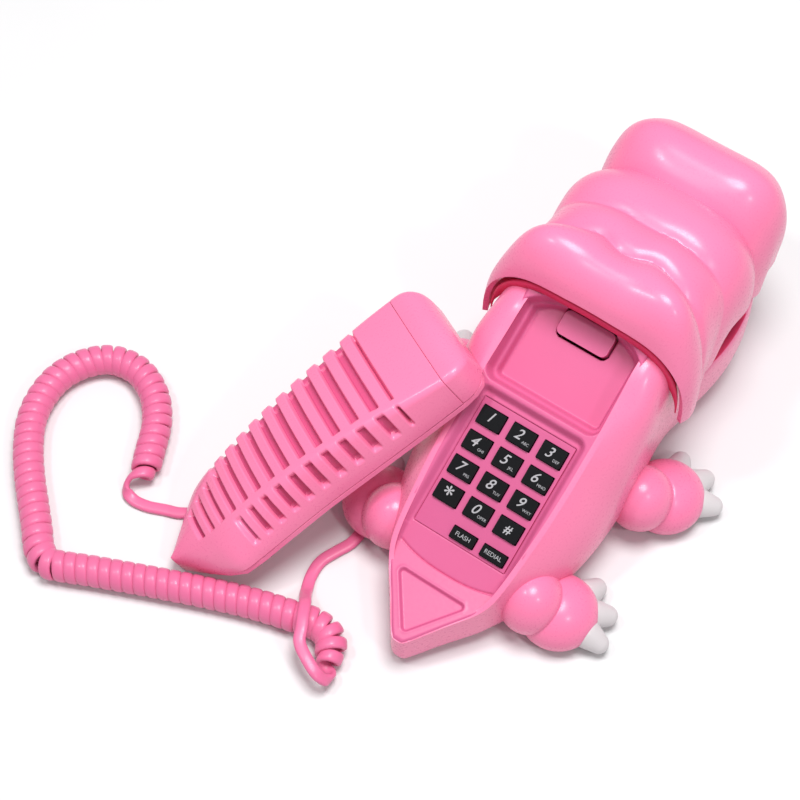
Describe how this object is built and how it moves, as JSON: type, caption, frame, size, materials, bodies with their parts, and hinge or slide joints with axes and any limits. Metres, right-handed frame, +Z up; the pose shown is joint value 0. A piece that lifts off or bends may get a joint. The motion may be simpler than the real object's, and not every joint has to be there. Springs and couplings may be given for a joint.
{
  "type": "novelty animal-shaped telephone",
  "caption": "Crocodile-shaped corded desk telephone: the ribbed back and tail lift off as the handset, uncovering a keypad and a cradle under the head.",
  "frame": {"origin": "on the table, under the middle of the body, on the bottom of the rest pad", "axes": "+Y forward to the snout, +X to the animal's right, +Z up"},
  "size_m": [0.2583, 0.2803, 0.1038],
  "materials": {
    "pink_plastic": "glossy moulded",
    "deep_pink_plastic": "satin moulded",
    "claw_plastic": "glossy painted white",
    "key_plastic": "satin",
    "mouth_plastic": "dark inside surface",
    "foam_rubber": "soft foam sheet",
    "grey_rubber": "moulded silicone",
    "board_green": "laminate board with parts",
    "screw_steel": "zinc plated",
    "black_plastic": "satin",
    "cord_vinyl": "soft vinyl",
    "plug_plastic": "clear or white plug moulding"
  },
  "bodies": {
    "base": {"rest_pad": "foam_rubber", "belly_plate": "deep_pink_plastic", "base_shell": "pink_plastic", "cradle_tray": "deep_pink_plastic", "faceplate": "pink_plastic", "keypad_membrane": "grey_rubber", "main_board": "board_green", "hook_pin": "screw_steel", "hook_switch": "black_plastic", "ringer": "black_plastic", "line_jack": "black_plastic", "cord_jack": "black_plastic", "leg_front_left": "pink_plastic", "leg_front_right": "pink_plastic", "leg_rear_left": "pink_plastic", "leg_rear_right": "pink_plastic", "claws_front_left": "claw_plastic", "claws_front_right": "claw_plastic", "claws_rear_left": "claw_plastic", "claws_rear_right": "claw_plastic", "head_shell": "pink_plastic", "mouth_floor": "mouth_plastic", "head_screws": "screw_steel", "base_screws": "screw_steel", "cord_coil": "cord_vinyl", "cord_lead_base": "cord_vinyl", "cord_lead_handset": "cord_vinyl", "cord_plug_base": "plug_plastic"},
    "key_1_body": {"key_1": "key_plastic"},
    "key_2_body": {"key_2": "key_plastic"},
    "key_3_body": {"key_3": "key_plastic"},
    "key_4_body": {"key_4": "key_plastic"},
    "key_5_body": {"key_5": "key_plastic"},
    "key_6_body": {"key_6": "key_plastic"},
    "key_7_body": {"key_7": "key_plastic"},
    "key_8_body": {"key_8": "key_plastic"},
    "key_9_body": {"key_9": "key_plastic"},
    "key_star_body": {"key_star": "key_plastic"},
    "key_0_body": {"key_0": "key_plastic"},
    "key_hash_body": {"key_hash": "key_plastic"},
    "key_flash_body": {"key_flash": "key_plastic"},
    "key_redial_body": {"key_redial": "key_plastic"},
    "hook": {"hook_tab": "deep_pink_plastic"},
    "ringer_slider": {"ringer_switch": "black_plastic"},
    "tone_slider": {"tone_switch": "black_plastic"},
    "handset": {"handset_back": "pink_plastic", "handset_cap": "pink_plastic", "handset_front": "pink_plastic", "earpiece": "black_plastic", "microphone": "black_plastic", "handset_jack": "black_plastic", "handset_screws": "screw_steel", "cord_plug_handset": "plug_plastic"}
  },
  "joints": [
    {"name": "key_1_press", "type": "slide", "parent": "base", "child": "key_1_body", "axis": [0, 0.4772, -0.8788], "range_m": [0, 0.0011], "stiffness_N_per_m": 400, "springref_m": -0.0004},
    {"name": "key_2_press", "type": "slide", "parent": "base", "child": "key_2_body", "axis": [0, 0.4772, -0.8788], "range_m": [0, 0.0011], "stiffness_N_per_m": 400, "springref_m": -0.0004},
    {"name": "key_3_press", "type": "slide", "parent": "base", "child": "key_3_body", "axis": [0, 0.4772, -0.8788], "range_m": [0, 0.0011], "stiffness_N_per_m": 400, "springref_m": -0.0004},
    {"name": "key_4_press", "type": "slide", "parent": "base", "child": "key_4_body", "axis": [0, 0.4772, -0.8788], "range_m": [0, 0.0011], "stiffness_N_per_m": 400, "springref_m": -0.0004},
    {"name": "key_5_press", "type": "slide", "parent": "base", "child": "key_5_body", "axis": [0, 0.4772, -0.8788], "range_m": [0, 0.0011], "stiffness_N_per_m": 400, "springref_m": -0.0004},
    {"name": "key_6_press", "type": "slide", "parent": "base", "child": "key_6_body", "axis": [0, 0.4772, -0.8788], "range_m": [0, 0.0011], "stiffness_N_per_m": 400, "springref_m": -0.0004},
    {"name": "key_7_press", "type": "slide", "parent": "base", "child": "key_7_body", "axis": [0, 0.4772, -0.8788], "range_m": [0, 0.0011], "stiffness_N_per_m": 400, "springref_m": -0.0004},
    {"name": "key_8_press", "type": "slide", "parent": "base", "child": "key_8_body", "axis": [0, 0.4772, -0.8788], "range_m": [0, 0.0011], "stiffness_N_per_m": 400, "springref_m": -0.0004},
    {"name": "key_9_press", "type": "slide", "parent": "base", "child": "key_9_body", "axis": [0, 0.4772, -0.8788], "range_m": [0, 0.0011], "stiffness_N_per_m": 400, "springref_m": -0.0004},
    {"name": "key_star_press", "type": "slide", "parent": "base", "child": "key_star_body", "axis": [0, 0.4772, -0.8788], "range_m": [0, 0.0011], "stiffness_N_per_m": 400, "springref_m": -0.0004},
    {"name": "key_0_press", "type": "slide", "parent": "base", "child": "key_0_body", "axis": [0, 0.4772, -0.8788], "range_m": [0, 0.0011], "stiffness_N_per_m": 400, "springref_m": -0.0004},
    {"name": "key_hash_press", "type": "slide", "parent": "base", "child": "key_hash_body", "axis": [0, 0.4772, -0.8788], "range_m": [0, 0.0011], "stiffness_N_per_m": 400, "springref_m": -0.0004},
    {"name": "key_flash_press", "type": "slide", "parent": "base", "child": "key_flash_body", "axis": [0, 0.4772, -0.8788], "range_m": [0, 0.0011], "stiffness_N_per_m": 400, "springref_m": -0.0004},
    {"name": "key_redial_press", "type": "slide", "parent": "base", "child": "key_redial_body", "axis": [0, 0.4772, -0.8788], "range_m": [0, 0.0011], "stiffness_N_per_m": 400, "springref_m": -0.0004},
    {"name": "hook_press", "type": "hinge", "parent": "base", "child": "hook", "pos_m": [0, 0.04439, 0.07121], "axis": [1, 0, 0], "range_deg": [0, 8], "stiffness_Nm_per_rad": 0.1, "springref_deg": -4.58},
    {"name": "ringer_switch_slide", "type": "slide", "parent": "base", "child": "ringer_slider", "axis": [1, 0, 0], "range_m": [-0.003, 0.003]},
    {"name": "tone_switch_slide", "type": "slide", "parent": "base", "child": "tone_slider", "axis": [1, 0, 0], "range_m": [0, 0.004]},
    {"name": "handset_lift", "type": "slide", "parent": "base", "child": "handset", "axis": [0, 0, 1], "range_m": [0, 0.12]}
  ]
}
